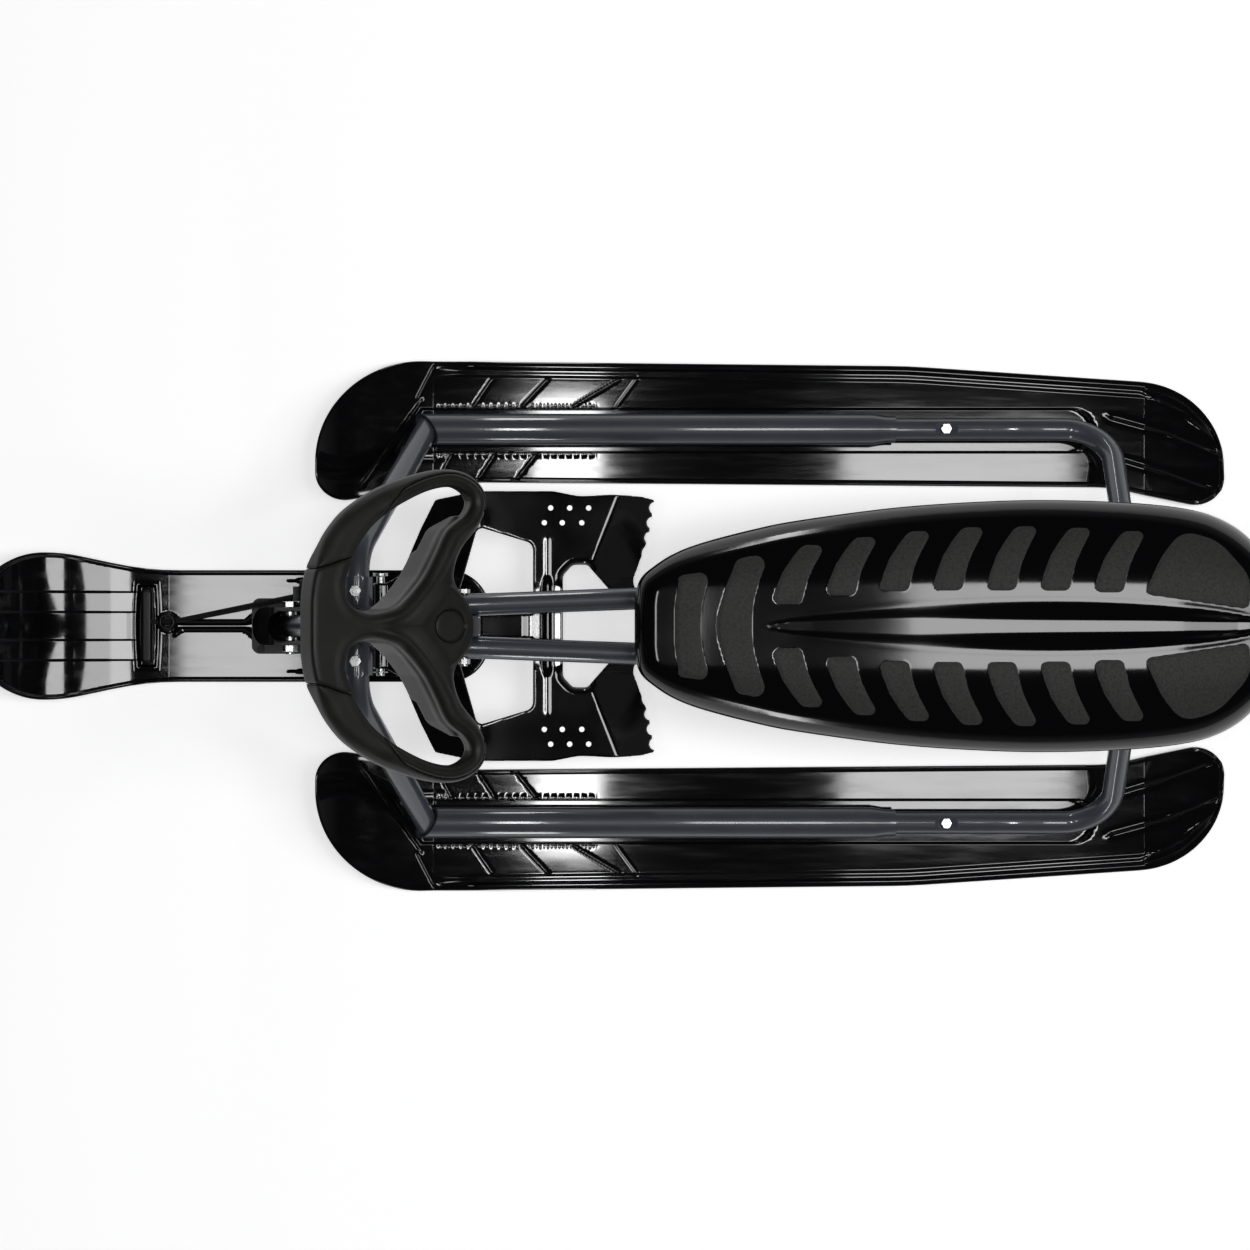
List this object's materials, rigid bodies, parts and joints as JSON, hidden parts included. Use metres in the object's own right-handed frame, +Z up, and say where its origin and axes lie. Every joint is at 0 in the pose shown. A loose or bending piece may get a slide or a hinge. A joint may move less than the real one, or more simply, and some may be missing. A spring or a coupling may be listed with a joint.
{
  "type": "steering sled",
  "caption": "Snow racer with moulded rear skis on a tube frame, long seat, steering wheel that turns a front ski, hinged foot brake and tow rope on a reel.",
  "frame": {"origin": "on the ground, in the middle of the sled's length and width", "axes": "+X the way it travels, +Y its left side, +Z up"},
  "size_m": [1.201, 0.5148, 0.4137],
  "materials": {
    "ski_plastic": "gloss black moulded polyethylene",
    "tube_paint": "anthracite gloss paint on steel tube",
    "zinc_steel": "bright zinc plate",
    "shaft_steel": "drawn steel",
    "spring_steel": "oiled spring steel",
    "brake_paint": "gloss black enamel on pressed steel",
    "wheel_plastic": "satin black moulding",
    "grip_rubber": "soft matte black grip",
    "seat_plastic": "satin black moulding with grained grey pads",
    "black_nylon": "black moulded nylon",
    "rope_fibre": "black braided cord"
  },
  "bodies": {
    "frame": {"ski_left": "ski_plastic", "ski_right": "ski_plastic", "ski_tube_left": "tube_paint", "ski_tube_right": "tube_paint", "front_arch_left": "tube_paint", "front_arch_right": "tube_paint", "spine_tube_left": "tube_paint", "spine_tube_right": "tube_paint", "rear_leg_left": "tube_paint", "rear_leg_right": "tube_paint", "steering_head": "tube_paint", "ski_bolts": "zinc_steel", "arch_bolts": "zinc_steel", "spine_bolts": "zinc_steel", "frame_nuts": "zinc_steel", "seat_screws": "zinc_steel", "brake_hinge_pin": "zinc_steel", "brake_pin_clip": "zinc_steel", "brake_return_spring": "spring_steel", "seat_shell": "seat_plastic", "seat_base": "black_nylon", "seat_bracket_front": "black_nylon", "seat_bracket_rear": "black_nylon", "head_bush_lower": "black_nylon", "head_bush_upper": "black_nylon"},
    "brake": {"brake_plate": "brake_paint"},
    "steering": {"steering_shaft": "shaft_steel", "shaft_collars": "zinc_steel", "wheel_core": "wheel_plastic", "wheel_grip_left": "grip_rubber", "wheel_grip_right": "grip_rubber", "hub_cap": "wheel_plastic", "wheel_bolt": "zinc_steel"},
    "steering_ski": {"front_ski": "ski_plastic", "rope_eyelet": "black_nylon", "tow_handle": "black_nylon", "tow_rope": "rope_fibre", "ski_bracket": "black_nylon", "bracket_screws": "zinc_steel", "pivot_bolt": "zinc_steel", "pivot_nut": "zinc_steel", "pivot_spacers": "zinc_steel", "reel_housing": "black_nylon", "reel_cover": "black_nylon", "reel_axle": "zinc_steel", "reel_screws": "zinc_steel", "reel_spring": "spring_steel"},
    "reel": {"reel_spool": "black_nylon", "wound_rope": "rope_fibre"}
  },
  "joints": [
    {"name": "steer", "type": "hinge", "parent": "frame", "child": "steering", "pos_m": [0.3035, 0, 0.075], "axis": [-0.5402, 0, 0.8415], "range_deg": [-28, 28]},
    {"name": "ski_pitch", "type": "hinge", "parent": "steering", "child": "steering_ski", "pos_m": [0.3035, 0, 0.075], "axis": [0, 1, 0], "range_deg": [-10, 10]},
    {"name": "brake_press", "type": "hinge", "parent": "frame", "child": "brake", "pos_m": [0.213, 0, 0.135], "axis": [0, -1, 0], "range_deg": [0, 11], "stiffness_Nm_per_rad": 12, "springref_deg": -14.32, "deforming": ["brake_return_spring"]},
    {"name": "reel_spin", "type": "hinge", "parent": "steering_ski", "child": "reel", "pos_m": [0.262, -0.031, 0.062], "axis": [0, 1, 0], "continuous": true}
  ]
}
